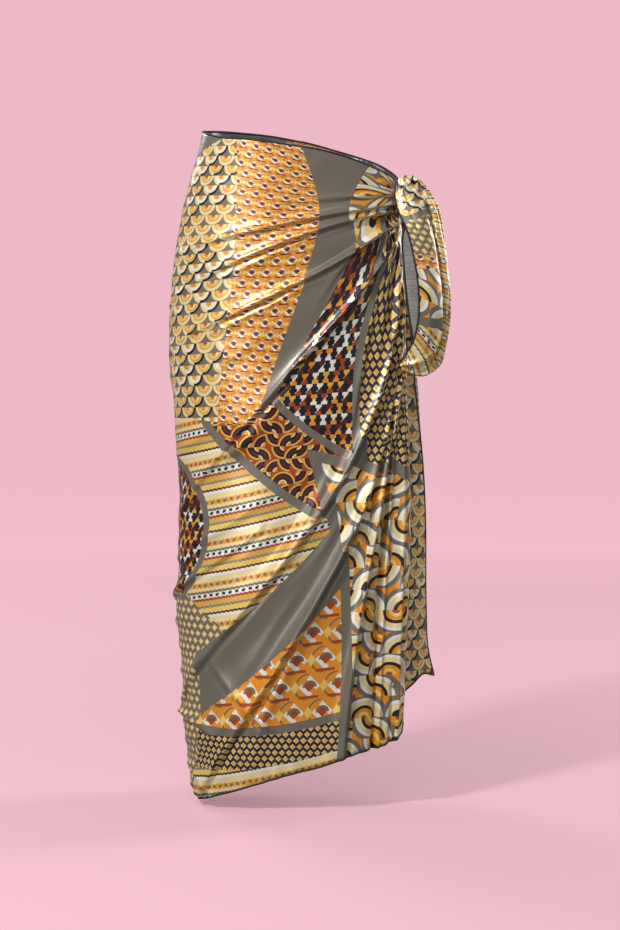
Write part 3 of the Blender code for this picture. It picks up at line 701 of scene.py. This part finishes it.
def wrap_print(paint, u, v):
    """Colour of the wrap's print at each place on the cloth."""
    far = {name: (u - arc.u).far(v - arc.v) - arc.radius for name, arc in ARCS.items()}
    made = {name: pattern(paint, name, u, v) for name in {patch.pattern: 0 for patch in PATCHES}}
    colour = TAUPE
    for patch in PATCHES:
        mask = 1.0
        if patch.inside:
            mask = far[patch.inside] < 0
        if patch.outside:
            mask = (far[patch.outside] > 0) * mask
        colour = paint.over(mask, colour, made[patch.pattern])
    return colour


THREADS, SLUBS = 2600.0, 260.0    # threads a metre across the cloth, and thick places along each


def satin(name, layout, tone_share, tone):
    """Printed satin, its print mixed by a share towards a tone on the wrong side: the washed-out dye,
    and where the tone is dark, painted shade as well.
    """
    paint = Paint(name)
    u, v = paint.place("ShaderNodeUVMap", {"uv_map": "UVMap"}, 0)
    colour = paint.over(tone_share, layout(paint, u, v), tone)
    thread = paint.node("ShaderNodeCombineXYZ", {}, {0: u * THREADS, 1: v * SLUBS})
    slub = paint.node("ShaderNodeTexNoise", {"noise_dimensions": "2D"}, {"Vector": thread, "Scale": 1.0})
    worn = paint.node("ShaderNodeTexCoord", {}, {}, OBJECT_PLACE)
    soft = paint.node("ShaderNodeTexNoise", {}, {"Vector": worn, "Scale": 22.0, "Detail": 3.0})
    colour = paint.over((slub - 0.35) * 0.22, colour, dye("2A2420"))
    paint.feed(paint.shader.inputs["Base Color"], colour)
    bump = paint.node("ShaderNodeBump", {}, {"Strength": 0.12, "Distance": 0.0003, "Height": slub})
    paint.feed(paint.shader.inputs["Normal"], bump)
    paint.feed(paint.shader.inputs["Roughness"], 0.27 + soft * 0.12)
    paint.feed(paint.shader.inputs["Metallic"], 0.25)
    paint.feed(paint.shader.inputs["Coat Weight"], 0.30)
    paint.feed(paint.shader.inputs["Coat Roughness"], 0.24)
    return paint.material


right_side = satin("printed_satin", wrap_print, 0.0, TAUPE)
# The wrong side's dark grey-plum tone is the duller dye plus painted shade of the garment's shadowed
# inside.
wrong_side = satin("printed_satin_inside", wrap_print, 0.55, dye("4A424C"))


def give_thickness(cloth, thickness, inner_share):
    """Turns a grid into a closed shell whose inner face has the second material, and only a
    share of the outer one's faces."""
    bpy.ops.object.select_all(action="DESELECT")
    cloth.select_set(True)
    bpy.context.view_layer.objects.active = cloth
    shell = cloth.modifiers.new("thickness", "SOLIDIFY")
    shell.thickness = thickness
    shell.offset = 0.0
    shell.material_offset = 1
    bpy.ops.object.modifier_apply(modifier=shell.name)
    inner = [polygon.material_index == 1 for polygon in cloth.data.polygons]
    bpy.ops.object.mode_set(mode="EDIT")
    bpy.ops.mesh.select_mode(type="FACE")
    bpy.ops.mesh.select_all(action="DESELECT")
    bpy.ops.object.mode_set(mode="OBJECT")
    cloth.data.polygons.foreach_set("select", inner)
    bpy.ops.object.mode_set(mode="EDIT")
    bpy.ops.mesh.decimate(ratio=inner_share)
    bpy.ops.object.mode_set(mode="OBJECT")


front_cloth.data.materials.append(right_side)
front_cloth.data.materials.append(wrong_side)
give_thickness(front_cloth, SATIN, 0.22)

# Its rolled hem, a flat cord about 3 mm wide, overlocked with dark thread.
HEM_HALF_WIDTH, HEM_HALF_THICKNESS = 0.0015, 0.0011
HEM_TAPER = 0.002
HEM_SIDES = 8
STITCH = 0.0016

hem_paint = Paint("hem_thread")
along = hem_paint.place("ShaderNodeUVMap", {"uv_map": "UVMap"}, 0)[0]
stitch = abs((along / STITCH).fract() - 0.5) * 2
hem_colour = hem_paint.over(stitch < 0.45, dye("241C1F"), dye("0E0C0D"))
hem_paint.feed(hem_paint.shader.inputs["Base Color"], hem_colour)
hem_bump = hem_paint.node("ShaderNodeBump", {}, {"Strength": 0.6, "Distance": 0.0004, "Height": stitch})
hem_paint.feed(hem_paint.shader.inputs["Normal"], hem_bump)
hem_paint.feed(hem_paint.shader.inputs["Roughness"], 0.6)


def add_hem(name, path, outward):
    """A flattened cord along a path of edge points, closed to a point at each end."""
    ahead = np.gradient(path, axis=0)
    ahead /= np.linalg.norm(ahead, axis=1, keepdims=True)
    outward = outward - ahead * np.sum(outward * ahead, axis=1, keepdims=True)
    outward /= np.linalg.norm(outward, axis=1, keepdims=True)
    sideways = np.cross(ahead, outward)
    run = np.concatenate([[0], np.cumsum(np.linalg.norm(np.diff(path, axis=0), axis=1))])
    full = np.clip(np.minimum(run, run[-1] - run) / HEM_TAPER, 0, 1)**0.5
    turn = np.linspace(0, 2 * np.pi, HEM_SIDES + 1)
    ring = (np.cos(turn)[None, :, None] * outward[:, None] * HEM_HALF_THICKNESS
            + np.sin(turn)[None, :, None] * sideways[:, None] * HEM_HALF_WIDTH)
    points = path[:, None] + ring * full[:, None, None]
    places = np.stack(np.broadcast_arrays(run[:, None], turn[None] / (2 * np.pi)), axis=-1)
    cord = place_grid(name, points, places)
    bpy.ops.object.mode_set(mode="EDIT")
    bpy.ops.mesh.select_all(action="SELECT")
    bpy.ops.mesh.remove_doubles(threshold=0.00002)
    bpy.ops.mesh.normals_make_consistent(inside=False)
    bpy.ops.object.mode_set(mode="OBJECT")
    cord.data.materials.append(hem_paint.material)
    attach(cord, "root")
    return cord


def out_of(grid):
    """Outward direction at each point of a grid."""
    normal = np.cross(np.gradient(grid, axis=1), np.gradient(grid, axis=0))
    return normal / (np.linalg.norm(normal, axis=2, keepdims=True) + 1e-12)


front_out = out_of(points)
front_edge = np.concatenate([points[:, 0], points[-1, 1:]])
front_edge_out = np.concatenate([front_out[:, 0], front_out[-1, 1:]])
front_hems = [add_hem("hem_front_waist", points[0, top:], front_out[0, top:]),
              add_hem("hem_front_edge", front_edge, front_edge_out)]

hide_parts("front_wrap")
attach(front_cloth, "root")

# Back stretch.
# The same cloth from the right side round the back to its own end, which is tied into the knot
# from behind and hangs under the front stretch's free edge.

BACK_END = 374.0
BACK_TUCK = 0.0055
UNDER_ANGLE, UNDER_REACH = 340.0, 20.0
BACK_COLUMNS = 160

shares = np.linspace(0, 1, BACK_COLUMNS)
angles = SEAM_ANGLE + (BACK_END - SEAM_ANGLE) * shares
waist = column_of(EDGES, "angle", "waist", angles)
hem = column_of(EDGES, "angle", "hem", angles)
height = waist + (hem - waist) * row_places(ROWS, ROW_CROWDING * shares**1.5)
angle = np.broadcast_to(angles, height.shape)
edge, column, fullness = (column_of(PLEAT, "height", name, height)
                          for name in ("edge", "column", "fullness"))
deep = 2 * (COLUMN_RADIUS + TUCK_RADIUS) * fullness
sunk = deep * np.clip((angle - 360 - edge) / (column - edge), 0, 1)
under = BACK_TUCK * np.clip((angle - UNDER_ANGLE) / UNDER_REACH, 0, 1)
lifted = np.clip((UNDER_ANGLE + UNDER_REACH - angle) / UNDER_REACH, 0, 1)
rise, hidden = fold_rise(angle, height)
back_points = stand_off(angle, height, rise * lifted - sunk - under)
seam_across = np.interp(height[:, :1], height_at_seam[::-1], across_at_seam[::-1])
share_left = (girth(BACK_END) - girth(angle)) / (girth(BACK_END) - girth(SEAM_ANGLE))
back_cloth = place_grid("back_cloth", back_points, cloth_place(seam_across * share_left, height))
back_cloth.data.materials.append(right_side)
back_cloth.data.materials.append(wrong_side)
give_thickness(back_cloth, SATIN, 0.5)

back_out = out_of(back_points)
back_edge = np.concatenate([back_points[-1], back_points[-2::-1, -1]])
back_edge_out = np.concatenate([back_out[-1], back_out[-2::-1, -1]])
back_hems = [add_hem("hem_back_waist", back_points[0], back_out[0]),
             add_hem("hem_back_edge", back_edge, back_edge_out)]

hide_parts("back_wrap")
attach(back_cloth, "root")

# Knot.
# The two gathered ends wrapped round each other: an upright twist of the same satin, pulled tight,
# with deep creases between its turns.

KNOT_CENTRE = (0.1555, -0.0500, -0.077)
KNOT_RADII = (0.0120, 0.0125, 0.033)
KNOT_TWISTS, KNOT_FURROW = 5, 0.17

bpy.ops.object.select_all(action="DESELECT")
bpy.ops.mesh.primitive_uv_sphere_add(segments=96, ring_count=64, radius=1, location=(0, 0, 0))
tie = bpy.context.object
tie.name = "knot_tie"
for vertex in tie.data.vertices:
    x, y, z = vertex.co
    turn, tilt = np.arctan2(y, x), np.arccos(np.clip(z, -1, 1))
    twist = KNOT_TWISTS * turn + 3 * tilt
    furrow = 1 - KNOT_FURROW * (0.5 + 0.5 * np.cos(twist))**2 - 0.03 * np.sin(3.2 * twist + 1.0)
    vertex.co = (KNOT_CENTRE[0] + KNOT_RADII[0] * x * furrow,
                 KNOT_CENTRE[1] + KNOT_RADII[1] * y * furrow,
                 KNOT_CENTRE[2] + KNOT_RADII[2] * z)
bpy.ops.object.shade_smooth()
for corner in tie.data.uv_layers[0].data:
    corner.uv = (0.05 + 0.08 * corner.uv[0], 0.10 * corner.uv[1] - 0.03)
tie.data.materials.append(right_side)

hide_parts("knot")
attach(tie, "root")

# Bow loop.
# The end of the cloth drawn through the knot and left as a loop: one sheet folded along its spine,
# gathered at the knot, drooping, with its mouth towards the front.

Loop = namedtuple("Loop", "front spine back")
LOOP = [
    Loop((0.1400, -0.0680, -0.052), (0.1640, -0.0650, -0.046), (0.1671, -0.0510, -0.060)),
    Loop((0.1385, -0.0720, -0.074), (0.1800, -0.0670, -0.058), (0.1691, -0.0525, -0.078)),
    Loop((0.1430, -0.0830, -0.098), (0.2010, -0.0700, -0.091), (0.1600, -0.0640, -0.106)),
    Loop((0.1550, -0.0950, -0.126), (0.2090, -0.0730, -0.135), (0.1500, -0.0660, -0.134)),
    Loop((0.1640, -0.1020, -0.161), (0.2150, -0.0750, -0.180), (0.1520, -0.0710, -0.178)),
    Loop((0.1710, -0.1060, -0.205), (0.2190, -0.0760, -0.226), (0.1555, -0.0750, -0.216)),
    Loop((0.1720, -0.1060, -0.249), (0.2165, -0.0770, -0.274), (0.1600, -0.0770, -0.252)),
    Loop((0.1650, -0.1030, -0.284), (0.2050, -0.0790, -0.317), (0.1640, -0.0780, -0.281)),
    Loop((0.1550, -0.0980, -0.303), (0.1800, -0.0820, -0.337), (0.1590, -0.0800, -0.301)),
    Loop((0.1440, -0.0930, -0.320), (0.1490, -0.0870, -0.328), (0.1470, -0.0820, -0.319)),
]
LOOP_CROWN, LOOP_WIDTH = 0.007, 0.05
LOOP_SECTIONS, LOOP_POINTS = 170, 120
LOOP_SWELL, LOOP_FREE = 0.0006, 0.03

down = np.linspace(0, 1, LOOP_SECTIONS)
keys = np.linspace(0, 1, len(LOOP))
front, spine, back = (np.stack([through(keys, [getattr(row, name)[axis] for row in LOOP], down)
                                for axis in range(3)], axis=-1)
                      for name in ("front", "spine", "back"))
size = np.linalg.norm(spine - front, axis=1, keepdims=True)
bow = np.array([0.0, -LOOP_CROWN, 0.0]) * np.clip(size / LOOP_WIDTH, 0, 1)
corners = np.stack([front,
                    front * 0.62 + spine * 0.38 + bow,
                    front * 0.18 + spine * 0.82 + bow * 0.9,
                    spine,
                    spine * 0.7 + back * 0.3 - bow * 0.5,
                    spine * 0.3 + back * 0.7 - bow * 0.3,
                    back])
loop_points = np.zeros((LOOP_SECTIONS, LOOP_POINTS, 3))
for section in range(LOOP_SECTIONS):
    for axis in range(3):
        loop_points[section, :, axis] = through(np.linspace(0, 1, len(corners)),
                                                corners[:, section, axis],
                                                np.linspace(0, 1, LOOP_POINTS))
loop_points = loop_points[:, ::-1]
loop_normal = np.cross(np.gradient(loop_points, axis=1), np.gradient(loop_points, axis=0))
loop_normal /= np.linalg.norm(loop_normal, axis=2, keepdims=True) + 1e-9

# Its creases: place down the loop and across it (0 is the front edge, 0.5 the spine), at each end,
# how far the cloth rises and how wide the crease is.
LoopCrease = namedtuple("LoopCrease", "down0 across0 down1 across1 rise width")
LOOP_CREASES = [
    LoopCrease(0.10, 0.31, 0.74, 0.35, -0.0066, 0.026),
    LoopCrease(0.08, 0.16, 0.60, 0.22, 0.0026, 0.060),
    LoopCrease(0.03, 0.10, 0.32, 0.13, -0.0014, 0.020),
    LoopCrease(0.03, 0.22, 0.30, 0.28, -0.0016, 0.018),
    LoopCrease(0.02, 0.36, 0.28, 0.44, -0.0014, 0.018),
    LoopCrease(0.40, 0.10, 0.92, 0.20, 0.0014, 0.040),
    LoopCrease(0.62, 0.42, 0.98, 0.20, -0.0030, 0.022),
    LoopCrease(0.70, 0.30, 0.99, 0.12, 0.0028, 0.024),
    LoopCrease(0.78, 0.46, 0.99, 0.30, 0.0026, 0.022),
    LoopCrease(0.15, 0.48, 0.55, 0.52, 0.0012, 0.030),
]
v = down[:, None] * np.ones((1, LOOP_POINTS))
u = np.linspace(1, 0, LOOP_POINTS)[None, :] * np.ones((LOOP_SECTIONS, 1))
lift = np.zeros(u.shape)
for crease in LOOP_CREASES:
    run = (v - crease.down0) / (crease.down1 - crease.down0)
    line = crease.across0 + (crease.across1 - crease.across0) * np.clip(run, 0, 1)
    past = np.maximum(0, np.abs(run - 0.5) - 0.5) * 5
    lift += crease.rise * np.exp(-(np.abs(u - line) / crease.width)**1.6 - past**2)
lift += LOOP_SWELL * np.sin(17 * v + 9 * u) * np.sin(11 * u - 6 * v)
loop_points = loop_points + loop_normal * (lift * np.clip(size / LOOP_FREE, 0, 1))[..., None]
side = np.concatenate([np.zeros((LOOP_SECTIONS, 1)),
                       np.cumsum(np.linalg.norm(np.diff(loop_points, axis=1), axis=2), axis=1)],
                      axis=1)
side = side[:, -1:] - side
length = np.concatenate([[0], np.cumsum(np.linalg.norm(np.diff(spine, axis=0), axis=1))])
loop_cloth = place_grid("loop_cloth", loop_points,
                        np.stack([side, length[:, None] + 0 * side], axis=-1))

# Layout of the loop's print: bands across it, each to its own distance below the knot.
Band = namedtuple("Band", "pattern ends")
BANDS = [
    Band("scallops", 0.075),
    Band("plain", 0.085),
    Band("grey net", 0.150),
    Band("orange rows", 0.172),
    Band("light rings", 0.245),
    Band("plain", 0.260),
    Band("stripes", 1.0),
]
LOOP_SLANT, STRIPED_EDGE = 0.35, 0.054


def loop_print(paint, u, v):
    """Colour of the loop's print, in slanting bands."""
    slant = v + u * LOOP_SLANT
    colour = TAUPE
    for band in BANDS[::-1]:
        colour = paint.over(slant < band.ends, colour, pattern(paint, band.pattern, u, v))
    return paint.over(u > STRIPED_EDGE, colour, pattern(paint, "stripes", u, v * 1.6))


loop_cloth.data.materials.append(satin("loop_satin", loop_print, 0.0, TAUPE))
loop_cloth.data.materials.append(satin("loop_satin_inside", loop_print, 0.80, dye("9A9CA4")))
give_thickness(loop_cloth, SATIN, 1.0)

loop_out = out_of(loop_points)
loop_hems = [add_hem("hem_loop_front", loop_points[:, -1], loop_out[:, -1]),
             add_hem("hem_loop_back", loop_points[:, 0], loop_out[:, 0])]

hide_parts("bow_loop")
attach(loop_cloth, "root")

# Floor, light and camera.
# A plain pale paper floor that curves up far away on all sides, soft boxes at the front, and
# weaker ones behind.

FLOOR_LEVEL = -0.978
FLOOR_RUN, FLAT_REACH, BEND, WALL_TOP = 18.0, 6.0, 2.5, 9.0
GLOW_FROM, GLOW_TO = 0.5, 3.5     # distances over which the paper turns from lit to glowing

bpy.ops.object.select_all(action="DESELECT")
bpy.ops.mesh.primitive_grid_add(x_subdivisions=72, y_subdivisions=48, size=1)
floor = bpy.context.object
floor.name = "floor"
for vertex in floor.data.vertices:
    turn, run = 2 * np.pi * (vertex.co.x + 0.5), (vertex.co.y + 0.5) * FLOOR_RUN
    bend = np.clip((run - FLAT_REACH) / (BEND * np.pi / 2), 0, 1) * np.pi / 2
    reach = min(run, FLAT_REACH) + BEND * np.sin(bend)
    climb = BEND * (1 - np.cos(bend)) + max(0, run - FLAT_REACH - BEND * np.pi / 2)
    vertex.co = (reach * np.cos(turn), reach * np.sin(turn), FLOOR_LEVEL + min(climb, WALL_TOP))
bpy.ops.object.mode_set(mode="EDIT")
bpy.ops.mesh.select_all(action="SELECT")
bpy.ops.mesh.remove_doubles(threshold=0.001)
bpy.ops.mesh.normals_make_consistent(inside=True)
bpy.ops.object.mode_set(mode="OBJECT")
bpy.ops.object.shade_smooth()
paper = Paint("studio_paper")
x, y = paper.place("ShaderNodeTexCoord", {}, OBJECT_PLACE)
away = paper.node("ShaderNodeMapRange", {}, {0: x.far(y), 1: GLOW_FROM, 2: GLOW_TO})
paper.feed(paper.shader.inputs["Base Color"],
           paper.over(away, (0.46, 0.28, 0.32, 1), (0.12, 0.07, 0.08, 1)))
paper.feed(paper.shader.inputs["Emission Color"],
           paper.over(away, (0.32, 0.18, 0.21, 1), (0.80, 0.46, 0.54, 1)))
paper.feed(paper.shader.inputs["Roughness"], 0.95)
paper.feed(paper.shader.inputs["Emission Strength"], 1.0)
floor.data.materials.append(paper.material)
floor.visible_diffuse = False
floor.visible_glossy = False


def add_light(name, place, aim, wide, high, power):
    """A soft box at a place, turned to its aim."""
    light = bpy.data.lights.new(name, "AREA")
    light.shape = "RECTANGLE"
    light.size, light.size_y, light.energy = wide, high, power
    lamp = bpy.data.objects.new(name, light)
    lamp.location = place
    direction = np.array(aim) - np.array(place)
    lamp.rotation_euler = (np.arccos(-direction[2] / np.linalg.norm(direction)), 0,
                           np.arctan2(direction[0], -direction[1]) + np.pi)
    bpy.context.scene.collection.objects.link(lamp)


add_light("key", (-1.8, -2.1, 1.8), (0, 0, -0.45), 0.4, 0.4, 96)
add_light("tall box", (-1.5, -2.4, -0.1), (0, 0, -0.55), 0.2, 1.6, 12)
add_light("top box", (0.3, -2.6, 2.2), (0, 0, -0.4), 1.2, 0.3, 12)
add_light("fill", (2.4, -2.8, 0.6), (0, 0, -0.5), 2.0, 2.0, 4)
add_light("rim", (2.2, 0.9, 0.6), (0, 0, -0.4), 0.6, 1.4, 34)
add_light("back key", (-1.7, 2.2, 1.2), (0, 0, -0.4), 1.0, 1.0, 34)
world = bpy.data.worlds.new("studio")
world.use_nodes = True
world.node_tree.nodes["Background"].inputs["Color"].default_value = (1.0, 0.97, 0.95, 1)
world.node_tree.nodes["Background"].inputs["Strength"].default_value = 0.24
bpy.context.scene.world = world
bpy.context.scene.view_settings.view_transform = "Standard"

camera = bpy.data.objects.new("camera", bpy.data.cameras.new("camera"))
camera.data.lens = 82.58
camera.location = (0.015, -3.1922, -0.2493)
camera.rotation_euler = (np.radians(86), 0, 0)
bpy.context.scene.collection.objects.link(camera)
bpy.context.scene.camera = camera
